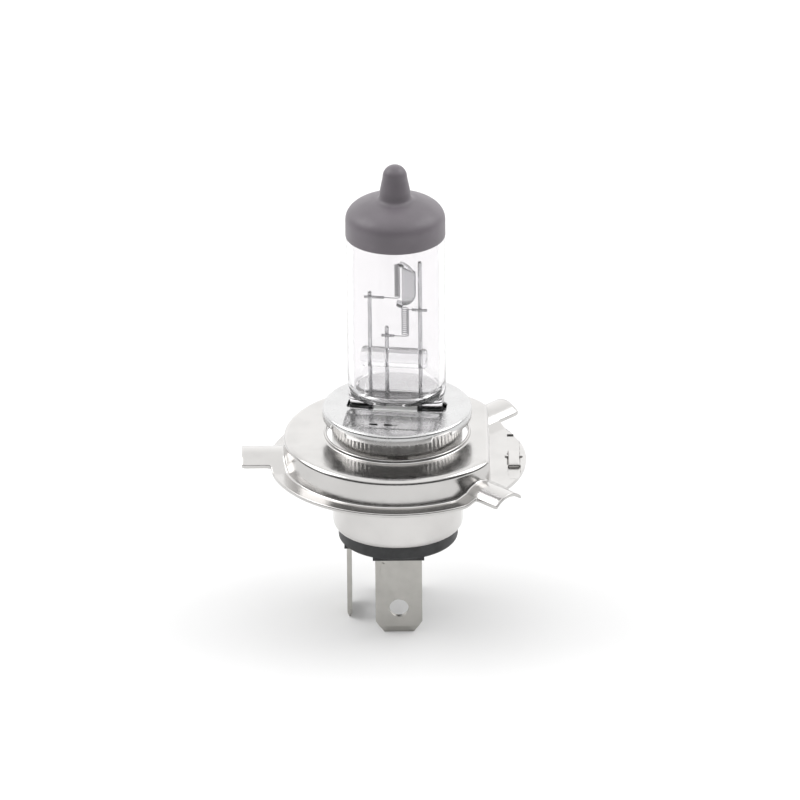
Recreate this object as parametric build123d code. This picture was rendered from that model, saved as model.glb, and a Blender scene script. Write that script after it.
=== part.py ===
from build123d import *
from math import cos, radians, sin
import os

# Two-filament halogen headlight bulb with a three-lug flange cap and three blade terminals.
# Millimetres, +Z toward the glass tip. The origin is on the bulb axis in the reference plane,
# which is the upper face of the flange. The wide reference lug points along -X.

# Overall heights
TIP_Z = 53.5
BLADE_END_Z = -28.1

# Quartz envelope
GLASS_R = 8.2
GLASS_WALL = 1.0
GLASS_FOOT_Z = 11.6
GLASS_FOOT_ROUND = 1.8
DOME_Z = 43.6
DOME_RISE = 3.8
NIPPLE_R = 1.95
NECK_R = 2.25
NECK_Z = 48.9
GLASS_TURN = -8.0
COAT = 0.08
COAT_EDGE_Z = 41.0

# Pinch seal and what is sealed in it
PINCH_W = 15.6
PINCH_T = 3.4
PINCH_BOTTOM_Z = 1.0
SEAL_TOP_Z = 9.5
SEAL_BOTTOM_Z = 3.6
FOIL_W = 2.2
FOIL_T = 0.1
POST_R = 0.35
LEAD_R = 0.35

# Supports inside the envelope: x position and top height of each post
POSTS = {"dipped_post": (-4.45, 30.7), "main_post": (-1.6, 24.5), "common_post": (4.0, 36.5)}
BRIDGE_R = 1.7
BRIDGE_Z = 18.8
BRIDGE_X = (-6.0, 5.1)
SLEEVE_R = 0.24

# Filament coils: axis x, bottom, top, mean coil radius, turns
DIPPED_COIL = (0.15, 29.8, 35.7, 0.42, 17)
MAIN_COIL = (1.5, 23.0, 27.9, 0.58, 14)
COIL_WIRE_R = 0.11
LEG_R = 0.13
LEG_IN_SLEEVE = 1.0

# Sleeves across the posts: the two ends in x, with the end that takes the leg given last
DIPPED_SLEEVE = (-5.3, -1.9)
MAIN_SLEEVE = (-2.4, -0.3)
COMMON_SLEEVE = (5.2, 2.7)

# Dipped beam shield: a half cylinder about its own axis, closed and rounded below
SHIELD_X = 0.55
SHIELD_R = 2.8
SHIELD_T = 0.2
SHIELD_Z = (28.5, 35.4)
SHIELD_ROUND = 1.9
STRAP_X = 0.8
STRAP_Y = (-0.75, -0.05)
SHIELD_LIP_X = (-1.1, 0.3)
SHIELD_LIP_Y = (-0.8, 0.8)
EAR_H = 0.9

# Flange ring
FLANGE_R = 21.5
SHEET = 0.6
HAT_R = 19.0
HAT_H = 4.8
HAT_BEND = 0.9
HAT_FLAT_X = 15.3
LIP_R = 12.0
LIP_T = 0.42
LIP_Z = 5.4
LUG_TIP_R = 26.0
LUG_ROOT_R = 18.6
LUG_CROWN_Z = 2.0
LUG_RISE = 1.25
LUG_FLARE = 2.6
LUGS = {180: 7.4, 45: 5.8, -45: 5.8}
WELD_TAB_ANGLES = (-90, 30, 150)
WELD_TAB_W = 4.0
LANCE_X = 19.4
LANCE_W = 2.0
LANCE_Y = (-8.2, 9.0)
LANCE_DEPTH = 0.25
BRIDGE_Y = (-3.4, 2.2)
BRIDGE_TOP_Z = 0.4
NUB_Y = (0.1, 0.6)
NUB_OUT = 0.5
NUB_TOP_Z = 0.3

# Sleeve of the cap
SHELL_R = 10.92
SHELL_T = 0.45
SHELL_TOP_Z = 9.4
SHELL_STRAIGHT_Z = -10.7
SHELL_RIM_Z = -11.8
RIM_R = 10.05
RIB_COUNT = 90
RIB_Z = (5.9, 8.1)
RIB_OUT = 0.12

# Burner retainer on top of the sleeve
RETAINER_R = 12.45
RETAINER_T = 0.5
RETAINER_BEND = 1.0
RETAINER_SKIRT_Z = 8.4
PANEL_R = 9.8
PANEL_HALF_W = 7.9
PANEL_DROP = 0.35
SLOT_W = 16.6
SLOT_T = 4.2
TONGUE_W = 7.3
TONGUE_T = 0.35
TONGUE_TOP_Z = 10.9
TONGUE_GAP = 0.03
SLIT_XS = (-3.6, -1.2)
SLIT_W = 1.3
SLIT_Y = (-7.6, -7.0)
SKIRT_GAP_W = 4.0
SKIRT_GAP_H = 0.75
CLIP_BOTTOM_Z = 3.2
CLIP_WALL = 0.42

# Insulator and blades
INSULATOR_R = 10.0
INSULATOR_TOP_Z = -8.6
INSULATOR_BOTTOM_Z = -14.2
BLADE_W = 7.8
BLADE_T = 0.8
BLADE_OFFSET = 8.25
BLADE_TOP_Z = -6.4
BLADE_NECK_W = 4.6
HOLE_R = 1.6
HOLE_FROM_END = 4.5
CHAMFER_X = 1.4
CHAMFER_Z = 2.05
TIP_BEVEL = 1.1
TIP_BEVEL_DEPTH = 0.28
STAMPED_RIB = (0.5, 0.3, 2.2)
PAD_W = 8.6
PAD_T = 2.2
PAD_H = 0.4

BLADES = {"terminal_dipped": 180, "terminal_main": 270, "terminal_common": 90}
LEADS = {"lead_dipped": ("dipped_post", 180), "lead_main": ("main_post", 270),
         "lead_common": ("common_post", 90)}


def box(x0, x1, y0, y1, z0, z1):
    """A box between two corners."""
    size = Box(x1 - x0, y1 - y0, z1 - z0)
    return Pos((x0 + x1) / 2, (y0 + y1) / 2, (z0 + z1) / 2) * size


def rod(x, y, z0, z1, r):
    """A round rod standing along Z."""
    return Pos(x, y, (z0 + z1) / 2) * Cylinder(r, z1 - z0)


def rod_x(x0, x1, z, r):
    """A round rod lying along X in the plane y = 0."""
    return Pos((x0 + x1) / 2, 0, z) * Rot(0, 90, 0) * Cylinder(r, x1 - x0)


def turned(part):
    """Turn a burner piece about the axis to the burner's own angle."""
    return Rot(0, 0, GLASS_TURN) * part


def spun(*edges):
    """Revolve a closed half outline in the XZ plane about the bulb axis."""
    return revolve(make_face(list(edges)), Axis.Z)


def ellipse_point(r, rise, z, degrees):
    return (r * cos(radians(degrees)), 0, z + rise * sin(radians(degrees)))


def envelope_profile(grow, foot_z):
    """Half outline of the envelope, grown outward by grow, from foot_z to the tip."""
    r = GLASS_R + grow
    rise = DOME_RISE + grow
    tip_r = NIPPLE_R + grow
    neck_r = NECK_R + grow
    tip_z = TIP_Z - COAT + grow
    shoulder = ellipse_point(r, rise, DOME_Z, 63)
    wall = Line((r, 0, foot_z), (r, 0, DOME_Z))
    dome = Spline((r, 0, DOME_Z), ellipse_point(r, rise, DOME_Z, 25), ellipse_point(r, rise, DOME_Z, 45),
                  shoulder, tangents=((0, 0, 1), (-1, 0, 0.24)))
    flare = Spline(shoulder, (neck_r, 0, NECK_Z), tangents=((-1, 0, 0.24), (-0.12, 0, 1)))
    neck = Line((neck_r, 0, NECK_Z), (tip_r, 0, tip_z - tip_r))
    cap = ThreePointArc((tip_r, 0, tip_z - tip_r), ellipse_point(tip_r, tip_r, tip_z - tip_r, 45),
                        (0, 0, tip_z))
    axis = Line((0, 0, tip_z), (0, 0, foot_z))
    foot = Line((0, 0, foot_z), (r, 0, foot_z))
    return [wall, dome, flare, neck, cap, axis, foot]


def cavity():
    """The gas space: a round-bottomed bore with a domed top."""
    r = GLASS_R - GLASS_WALL
    rise = DOME_RISE - GLASS_WALL
    floor = GLASS_FOOT_Z + GLASS_WALL
    bore = Line((r, 0, floor), (r, 0, DOME_Z))
    dome = Spline((r, 0, DOME_Z), ellipse_point(r, rise, DOME_Z, 30), ellipse_point(r, rise, DOME_Z, 60),
                  (0, 0, DOME_Z + rise), tangents=((0, 0, 1), (-1, 0, 0)))
    axis = Line((0, 0, DOME_Z + rise), (0, 0, floor))
    base = Line((0, 0, floor), (r, 0, floor))
    space = spun(bore, dome, axis, base)
    return fillet(space.edges().filter_by(GeomType.CIRCLE).group_by(Axis.Z)[0], GLASS_FOOT_ROUND)


def sealed_metal():
    """Posts, foils and leads where they lie in the pinch, to be taken out of the quartz."""
    cut = [foil(x) for x, _ in POSTS.values()]
    cut += [rod(x, 0, SEAL_TOP_Z, GLASS_FOOT_Z + 2, POST_R) for x, _ in POSTS.values()]
    cut += [rod(x, 0, PINCH_BOTTOM_Z - 1, SEAL_BOTTOM_Z, LEAD_R) for x, _ in POSTS.values()]
    return cut


def glass_envelope():
    tube = spun(*envelope_profile(0, GLASS_FOOT_Z))
    tube = fillet(tube.edges().filter_by(GeomType.CIRCLE).group_by(Axis.Z)[0], GLASS_FOOT_ROUND)
    slab = extrude(RectangleRounded(PINCH_W, PINCH_T, 0.8), GLASS_FOOT_Z + 0.9 - PINCH_BOTTOM_Z)
    body = tube + Pos(0, 0, PINCH_BOTTOM_Z) * slab - cavity()
    for piece in sealed_metal():
        body -= piece
    return body


def glare_cap():
    outer = spun(*envelope_profile(COAT, COAT_EDGE_Z))
    inner = spun(*envelope_profile(0, COAT_EDGE_Z - 1))
    return outer - inner


def foil(x):
    return box(x - FOIL_W / 2, x + FOIL_W / 2, -FOIL_T / 2, FOIL_T / 2, SEAL_BOTTOM_Z, SEAL_TOP_Z)


def post(x, top):
    shaft = rod(x, 0, SEAL_TOP_Z, top, POST_R)
    return fillet(shaft.edges().group_by(Axis.Z)[-1], POST_R * 0.7)


def quartz_bridge():
    x0, x1 = BRIDGE_X
    bar = rod_x(x0, x1, BRIDGE_Z, BRIDGE_R)
    bar = fillet(bar.edges().filter_by(GeomType.CIRCLE), BRIDGE_R * 0.4)
    for x, _ in POSTS.values():
        bar -= rod(x, 0, BRIDGE_Z - 3, BRIDGE_Z + 3, POST_R)
    return bar


def sleeve(ends, spec, z, post_x):
    """A crimped tube welded across a post, holding one filament leg in its inner end."""
    outer_x, inner_x = ends
    offset = Pos(0, -spec[3], 0)
    tube = offset * rod_x(min(ends), max(ends), z, SLEEVE_R)
    deep = inner_x + (LEG_IN_SLEEVE if outer_x > inner_x else -LEG_IN_SLEEVE)
    hole = offset * rod_x(min(inner_x, deep), max(inner_x, deep), z, LEG_R)
    return tube - hole - rod(post_x, 0, z - 1, z + 1, POST_R)


def filament(spec, lower_x, upper_x):
    """A tungsten coil whose two ends leave along X, the lower one to -X and the upper to +X."""
    x, z0, z1, r, turns = spec
    path = Pos(x, 0, z0) * Rot(0, 0, -90) * Helix(pitch=(z1 - z0) / turns, height=z1 - z0, radius=r)
    body = sweep(Plane(origin=path @ 0, z_dir=path % 0) * Circle(COIL_WIRE_R), path)
    body += Pos(0, -r, 0) * rod_x(lower_x, x + 0.1, z0, LEG_R)
    body += Pos(0, -r, 0) * rod_x(x - 0.1, upper_x, z1, LEG_R)
    return body


def dipped_shield():
    """The molybdenum spoon beside the dipped coil, with a lip below and a strap across the top."""
    z0, z1 = SHIELD_Z
    outer = rod(SHIELD_X, 0, z0, z1, SHIELD_R)
    outer = fillet(outer.edges().filter_by(GeomType.CIRCLE).group_by(Axis.Z)[0], SHIELD_ROUND)
    inner = rod(SHIELD_X, 0, z0 + SHIELD_T, z1 + 1, SHIELD_R - SHIELD_T)
    inner = fillet(inner.edges().filter_by(GeomType.CIRCLE).group_by(Axis.Z)[0],
                   SHIELD_ROUND - SHIELD_T)
    cup = outer - inner - box(SHIELD_X - 4, SHIELD_X, -4, 4, z0 - 1, z1 + 1)
    lip = box(SHIELD_X + SHIELD_LIP_X[0], SHIELD_X + SHIELD_LIP_X[1], *SHIELD_LIP_Y, z0, z0 + SHIELD_T)
    strap = box(STRAP_X, SHIELD_X + SHIELD_R - SHIELD_T / 4, *STRAP_Y, z1 - SHIELD_T, z1)
    ear = box(STRAP_X, STRAP_X + SHIELD_T, *STRAP_Y, z1 - SHIELD_T, z1 + EAR_H)
    post_x, _ = POSTS["common_post"]
    return cup + lip + strap + ear - rod(post_x, 0, z0 - 1, z1 + 1, POST_R)


def weld_tab(angle):
    """A tab from the lip in to the sleeve, where the flange ring is welded on."""
    half = WELD_TAB_W / 2
    tab = box(SHELL_R - SHELL_T, LIP_R + LIP_T / 2, -half, half, HAT_H - SHEET, HAT_H)
    return Rot(0, 0, angle) * (tab - rod(0, 0, 0, SHELL_TOP_Z, SHELL_R))


def d_outline(r, flat_x, z0, z1):
    disc = rod(0, 0, z0, z1, r)
    return disc - box(flat_x, r + 1, -r - 1, r + 1, z0 - 1, z1 + 1)


def arch(half, rise, x0, x1):
    """A sheet arched about the X axis, and the space under it; its crown is at the lugs' height."""
    r = (half ** 2 + rise ** 2) / (2 * rise)
    whole = rod_x(x0, x1, LUG_CROWN_Z - r, r)
    under = rod_x(x0, x1, LUG_CROWN_Z - r, r - SHEET)
    span = box(x0, x1, -half, half, -SHEET, LUG_CROWN_Z)
    return (whole - under) & span, under & span


def with_lug(flange, width, angle):
    """The flange with a lug pointing along the angle: an arched tongue and a wider arched root."""
    turn = Rot(0, 0, angle)
    tongue, _ = arch(width / 2, LUG_RISE, LUG_ROOT_R, LUG_TIP_R)
    root, hollow = arch(width / 2 + LUG_FLARE, LUG_CROWN_Z, LUG_ROOT_R, FLANGE_R)
    root &= rod(0, 0, -SHEET, LUG_CROWN_Z, FLANGE_R)
    hollow = turn * hollow - d_outline(HAT_R, HAT_FLAT_X, -SHEET, HAT_H)
    return flange - hollow + turn * root + turn * tongue


def lance():
    """The lanced bridge on the flange segment outside the hat's flat, between two grooves."""
    x0, x1 = LANCE_X - LANCE_W / 2, LANCE_X + LANCE_W / 2
    groove = box(x0, x1, *LANCE_Y, -LANCE_DEPTH, 1)
    bridge = box(x0, x1, *BRIDGE_Y, -LANCE_DEPTH - 0.05, BRIDGE_TOP_Z)
    bridge = fillet(bridge.edges().group_by(Axis.Z)[-1], BRIDGE_TOP_Z / 2)
    nubs = box(x0 - NUB_OUT, x1 + NUB_OUT, *NUB_Y, -0.1, NUB_TOP_Z)
    return groove, bridge + nubs


def adapter_ring():
    outer = d_outline(HAT_R, HAT_FLAT_X, -SHEET, HAT_H)
    outer = fillet(outer.edges().group_by(Axis.Z)[-1], HAT_BEND)
    flange = rod(0, 0, -SHEET, 0, FLANGE_R)
    for angle, width in LUGS.items():
        flange = with_lug(flange, width, angle)
    groove, bridge = lance()
    body = flange - groove + bridge + outer
    inner = d_outline(HAT_R - SHEET, HAT_FLAT_X - SHEET, -3, HAT_H - SHEET)
    inner = fillet(inner.edges().group_by(Axis.Z)[-1], HAT_BEND - SHEET)
    body -= inner
    lip = rod(0, 0, HAT_H - SHEET, LIP_Z, LIP_R + LIP_T)
    body = body + lip - rod(0, 0, -1, LIP_Z + 1, LIP_R)
    for angle in WELD_TAB_ANGLES:
        body += weld_tab(angle)
    return body


def base_shell():
    """The drawn sleeve from the retainer down to the crimped rim round the insulator."""
    wall = Line((SHELL_R, 0, SHELL_STRAIGHT_Z), (SHELL_R, 0, SHELL_TOP_Z))
    top = Line((SHELL_R, 0, SHELL_TOP_Z), (SHELL_R - SHELL_T, 0, SHELL_TOP_Z))
    inner = Line((SHELL_R - SHELL_T, 0, SHELL_TOP_Z), (SHELL_R - SHELL_T, 0, SHELL_STRAIGHT_Z))
    curl_in = Line((SHELL_R - SHELL_T, 0, SHELL_STRAIGHT_Z), (RIM_R - SHELL_T, 0, SHELL_RIM_Z))
    rim = Line((RIM_R - SHELL_T, 0, SHELL_RIM_Z), (RIM_R, 0, SHELL_RIM_Z))
    curl_out = ThreePointArc((RIM_R, 0, SHELL_RIM_Z),
                             (SHELL_R - 0.18, 0, (SHELL_STRAIGHT_Z + SHELL_RIM_Z) / 2 - 0.05),
                             (SHELL_R, 0, SHELL_STRAIGHT_Z))
    body = spun(wall, top, inner, curl_in, rim, curl_out)
    z0, z1 = RIB_Z
    ribs = [Rot(0, 0, 360 / RIB_COUNT * i) * box(SHELL_R - 0.1, SHELL_R + RIB_OUT, -0.14, 0.14, z0, z1)
            for i in range(RIB_COUNT)]
    return body.fuse(*ribs)


def retainer_disc():
    """The dished disc with its rounded rim and skirt, before the openings."""
    top = SHELL_TOP_Z + RETAINER_T
    outer = rod(0, 0, RETAINER_SKIRT_Z, top, RETAINER_R)
    outer = fillet(outer.edges().filter_by(GeomType.CIRCLE).group_by(Axis.Z)[-1], RETAINER_BEND)
    inner = rod(0, 0, RETAINER_SKIRT_Z - 1, SHELL_TOP_Z, RETAINER_R - RETAINER_T)
    inner = fillet(inner.edges().filter_by(GeomType.CIRCLE).group_by(Axis.Z)[-1],
                   RETAINER_BEND - RETAINER_T)
    return outer - inner


def panel(r, half_w, z0, z1):
    disc = rod(0, 0, z0, z1, r)
    return disc & box(-half_w, half_w, -r, r, z0 - 1, z1 + 1)


def retainer_plate():
    body = retainer_disc()
    top = SHELL_TOP_Z + RETAINER_T
    low = SHELL_TOP_Z - PANEL_DROP
    pressed = panel(PANEL_R, PANEL_HALF_W, low, top)
    hollow = fillet(panel(PANEL_R - 0.4, PANEL_HALF_W - 0.4, low + RETAINER_T, top + 1)
                    .edges().group_by(Axis.Z)[0], 0.3)
    body = body + pressed - hollow
    body -= Pos(0, 0, top) * extrude(RectangleRounded(SLOT_W, SLOT_T, 0.5), 8, both=True)
    near = PINCH_T / 2 + TONGUE_GAP
    for side in (-1, 1):
        y0, y1 = sorted((side * near, side * (near + TONGUE_T)))
        body += box(-TONGUE_W / 2, TONGUE_W / 2, y0, y1, low, TONGUE_TOP_Z)
        y0, y1 = sorted((side * near, side * (SLOT_T / 2 + 0.2)))
        body += box(-TONGUE_W / 2, TONGUE_W / 2, y0, y1, low, low + RETAINER_T)
    for x in SLIT_XS:
        body -= box(x, x + SLIT_W, *SLIT_Y, low - 1, top + 1)
    for quarter in range(4):
        gap = box(RETAINER_R - 3, RETAINER_R + 1, -SKIRT_GAP_W / 2, SKIRT_GAP_W / 2,
                  RETAINER_SKIRT_Z - 1, RETAINER_SKIRT_Z + SKIRT_GAP_H)
        body -= Rot(0, 0, 45 + 90 * quarter) * gap
    return body


def pinch_clip():
    """The spring sleeve under the retainer that grips the pinch."""
    height = SHELL_TOP_Z - PANEL_DROP - CLIP_BOTTOM_Z
    gap = 2 * TONGUE_GAP
    wall = 2 * CLIP_WALL
    inner = extrude(RectangleRounded(PINCH_W + gap, PINCH_T + gap, 0.8), height)
    outer = extrude(RectangleRounded(PINCH_W + gap + wall, PINCH_T + gap + wall, 0.9), height)
    return Pos(0, 0, CLIP_BOTTOM_Z) * (outer - inner)


def blade(angle):
    """A flat blade terminal: bevelled tip, cut corners, hole and a narrower neck above."""
    half = BLADE_W / 2
    neck = BLADE_NECK_W / 2
    step_z = INSULATOR_BOTTOM_Z + 1.0
    outline = Polyline((-neck, BLADE_TOP_Z), (-neck, step_z), (-half, step_z),
                       (-half, BLADE_END_Z + CHAMFER_Z), (-half + CHAMFER_X, BLADE_END_Z),
                       (half - CHAMFER_X, BLADE_END_Z), (half, BLADE_END_Z + CHAMFER_Z),
                       (half, step_z), (neck, step_z), (neck, BLADE_TOP_Z), close=True)
    body = extrude(Plane.XZ * make_face(outline), BLADE_T / 2, both=True)
    body = chamfer(body.edges().group_by(Axis.Z)[0].filter_by(Axis.X), TIP_BEVEL_DEPTH, TIP_BEVEL)
    body -= Pos(0, 0, BLADE_END_Z + HOLE_FROM_END) * Rot(90, 0, 0) * Cylinder(HOLE_R, 3)
    rib = Pos(-half + 1.1, -BLADE_T / 2, INSULATOR_BOTTOM_Z - 2.1) * Rot(0, 12, 0) * Box(*STAMPED_RIB)
    body += rib
    return Rot(0, 0, angle + 90) * Pos(0, -BLADE_OFFSET, 0) * body


def insulator():
    """The moulded plug in the sleeve's lower end, with a slot for each blade."""
    r_in = SHELL_R - SHELL_T - 0.02
    neck_r = RIM_R - SHELL_T - 0.02
    upper = rod(0, 0, SHELL_STRAIGHT_Z + 0.02, INSULATOR_TOP_Z, r_in)
    neck = rod(0, 0, SHELL_RIM_Z - 0.5, SHELL_STRAIGHT_Z + 0.02, neck_r)
    foot = rod(0, 0, INSULATOR_BOTTOM_Z, SHELL_RIM_Z, INSULATOR_R)
    foot = fillet(foot.edges().filter_by(GeomType.CIRCLE).group_by(Axis.Z)[0], 0.6)
    body = upper + neck + foot
    for angle in BLADES.values():
        pad = box(BLADE_OFFSET - PAD_T / 2, BLADE_OFFSET + PAD_T / 2 - 0.3, -PAD_W / 2, PAD_W / 2,
                  INSULATOR_BOTTOM_Z - PAD_H, INSULATOR_BOTTOM_Z + 1)
        body += (Rot(0, 0, angle) * pad) & rod(0, 0, -20, 0, INSULATOR_R)
    for angle in BLADES.values():
        body -= blade(angle)
    return body


def lead(post_x, angle):
    """A lead wire from its foil down to the inner face of its blade."""
    turn = radians(GLASS_TURN)
    x, y = post_x * cos(turn), post_x * sin(turn)
    reach = BLADE_OFFSET - BLADE_T / 2 - LEAD_R
    bx, by = reach * cos(radians(angle)), reach * sin(radians(angle))
    path = FilletPolyline((x, y, SEAL_BOTTOM_Z), (x, y, -1.0), (bx, by, -4.5), (bx, by, -8.3), radius=1.2)
    return sweep(Plane(origin=path @ 0, z_dir=path % 0) * Circle(LEAD_R), path)


def burner_pieces():
    """Every piece of the burner in its own frame, before it is turned."""
    pieces = {"glass_envelope": glass_envelope(), "glare_cap": glare_cap(),
              "quartz_bridge": quartz_bridge(), "dipped_shield": dipped_shield(),
              "retainer_plate": retainer_plate(), "pinch_clip": pinch_clip()}
    for name, (x, top) in POSTS.items():
        pieces[name] = post(x, top)
        pieces["foil_" + name.split("_")[0]] = foil(x)
    pieces["dipped_sleeve"] = sleeve(DIPPED_SLEEVE, DIPPED_COIL, DIPPED_COIL[1], POSTS["dipped_post"][0])
    pieces["main_sleeve"] = sleeve(MAIN_SLEEVE, MAIN_COIL, MAIN_COIL[1], POSTS["main_post"][0])
    pieces["common_sleeve"] = sleeve(COMMON_SLEEVE, MAIN_COIL, MAIN_COIL[2], POSTS["common_post"][0])
    pieces["dipped_filament"] = filament(DIPPED_COIL, DIPPED_SLEEVE[1] - LEG_IN_SLEEVE, STRAP_X)
    pieces["main_filament"] = filament(MAIN_COIL, MAIN_SLEEVE[1] - LEG_IN_SLEEVE,
                                       COMMON_SLEEVE[1] + LEG_IN_SLEEVE)
    return pieces


def cap_pieces():
    """Every piece of the metal cap and its terminals."""
    pieces = {"adapter_ring": adapter_ring(), "base_shell": base_shell(), "insulator": insulator()}
    for name, angle in BLADES.items():
        pieces[name] = blade(angle)
    for name, (post_name, angle) in LEADS.items():
        pieces[name] = lead(POSTS[post_name][0], angle)
    return pieces


def main():
    os.makedirs("parts", exist_ok=True)
    pieces = {name: turned(piece) for name, piece in burner_pieces().items()}
    pieces.update(cap_pieces())
    for name, piece in pieces.items():
        export_step(piece, f"parts/{name}.step")


main()
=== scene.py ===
from math import atan2, cos, pi, radians, sin, sqrt

import bpy
from mathutils import Matrix, Vector


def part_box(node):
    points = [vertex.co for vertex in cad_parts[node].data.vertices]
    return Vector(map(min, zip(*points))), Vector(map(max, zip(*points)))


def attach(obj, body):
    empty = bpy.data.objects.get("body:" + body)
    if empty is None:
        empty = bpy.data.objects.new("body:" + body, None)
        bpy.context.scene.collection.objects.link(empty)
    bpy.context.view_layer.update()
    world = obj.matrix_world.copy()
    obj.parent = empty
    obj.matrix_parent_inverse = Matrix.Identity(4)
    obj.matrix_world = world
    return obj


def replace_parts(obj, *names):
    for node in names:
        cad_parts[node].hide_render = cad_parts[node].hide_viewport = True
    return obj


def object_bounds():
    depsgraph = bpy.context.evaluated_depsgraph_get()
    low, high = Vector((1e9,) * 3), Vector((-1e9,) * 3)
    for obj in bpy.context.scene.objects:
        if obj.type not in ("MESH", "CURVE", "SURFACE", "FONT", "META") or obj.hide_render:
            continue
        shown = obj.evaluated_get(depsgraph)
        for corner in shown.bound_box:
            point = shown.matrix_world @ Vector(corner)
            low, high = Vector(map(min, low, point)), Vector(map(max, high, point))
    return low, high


bl_info = {
    "name": "Headlight Bulb Dressing",
    "version": (1, 0, 0),
    "blender": (4, 5, 0),
    "location": "View3D > Sidebar > Bulb",
    "description": "Dresses the packed model of a two-filament headlight bulb in glass, metal and plastic",
    "category": "Object",
}

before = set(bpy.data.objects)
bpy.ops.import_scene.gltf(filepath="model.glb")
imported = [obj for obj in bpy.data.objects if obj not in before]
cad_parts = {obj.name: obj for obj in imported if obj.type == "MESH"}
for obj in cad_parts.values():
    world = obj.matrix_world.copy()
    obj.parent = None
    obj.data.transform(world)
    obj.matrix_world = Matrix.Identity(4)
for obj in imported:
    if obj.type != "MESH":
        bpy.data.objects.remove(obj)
CAD_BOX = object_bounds()
MM = 0.001


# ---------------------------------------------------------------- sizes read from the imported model

def node_box(name):
    """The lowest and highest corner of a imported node, in millimetres."""
    low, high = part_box(name)
    return low / MM, high / MM


CAP_LOW, CAP_HIGH = node_box("glare_cap")
GLASS_LOW, GLASS_HIGH = node_box("glass_envelope")
GLASS_R = 8.2
COAT = CAP_HIGH.z - GLASS_HIGH.z
COAT_GAP = 0.012
BURNER_TURN = radians(-8)


# ---------------------------------------------------------------- settings a user may change

class BulbStageSettings(bpy.types.PropertyGroup):
    """Camera, floor and lamps."""

    camera_elevation: bpy.props.FloatProperty(
        name="Camera elevation", description="Angle of the camera above the horizon",
        default=radians(25.2), subtype="ANGLE")
    camera_distance: bpy.props.FloatProperty(
        name="Camera distance", description="From the camera to the point it looks at",
        default=1.526, subtype="DISTANCE", unit="LENGTH")
    camera_roll: bpy.props.FloatProperty(
        name="Camera roll", description="Turn of the camera about its own line of sight",
        default=radians(-0.55), subtype="ANGLE")
    aim_height: bpy.props.FloatProperty(
        name="Aim height", description="Height of the point that the camera looks at",
        default=0.01078, subtype="DISTANCE", unit="LENGTH")
    aim_side: bpy.props.FloatProperty(
        name="Aim side", description="How far to the right of the axis the camera looks",
        default=0.0005, subtype="DISTANCE", unit="LENGTH")
    focal_length: bpy.props.FloatProperty(
        name="Focal length", description="Lens of the camera in millimetres", default=412.3, min=50.0)
    floor_size: bpy.props.FloatProperty(
        name="Floor size", description="Side of the square floor", default=6.0,
        subtype="DISTANCE", unit="LENGTH")
    floor_colour: bpy.props.FloatVectorProperty(
        name="Floor colour", description="Colour of the paper floor", size=3, subtype="COLOR",
        default=(0.8, 0.8, 0.8))
    sky_level: bpy.props.FloatProperty(
        name="Sky level", description="Brightness of the even light all round", default=1.0, min=0.0)
    lamp_power: bpy.props.FloatProperty(
        name="Lamp power", description="Power of each soft box", default=3.6, min=0.0)


class BulbGlassSettings(bpy.types.PropertyGroup):
    """The quartz envelope and its coating."""

    wall: bpy.props.FloatProperty(
        name="Wall", description="Thickness of the quartz wall in millimetres", default=1.0, min=0.2)
    tint: bpy.props.FloatVectorProperty(
        name="Quartz tint", description="Colour of light that passes through the quartz", size=3,
        subtype="COLOR", default=(0.885, 0.876, 0.885))
    coating_colour: bpy.props.FloatVectorProperty(
        name="Coating colour", description="Colour of the glare coating", size=3, subtype="COLOR",
        default=(0.140, 0.125, 0.140))


class BulbMetalSettings(bpy.types.PropertyGroup):
    """Finishes of the metal pieces."""

    ring_colour: bpy.props.FloatVectorProperty(
        name="Ring colour", description="Nickel-plated ring and sleeve", size=3, subtype="COLOR",
        default=(0.54, 0.53, 0.52))
    retainer_colour: bpy.props.FloatVectorProperty(
        name="Retainer colour", description="Bright retainer disc", size=3, subtype="COLOR",
        default=(0.56, 0.56, 0.56))
    blade_colour: bpy.props.FloatVectorProperty(
        name="Blade colour", description="Tinned blades", size=3, subtype="COLOR",
        default=(0.47, 0.46, 0.435))
    plastic_colour: bpy.props.FloatVectorProperty(
        name="Insulator colour", description="Black moulded insulator", size=3, subtype="COLOR",
        default=(0.030, 0.031, 0.032))


# ---------------------------------------------------------------- material helpers

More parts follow.
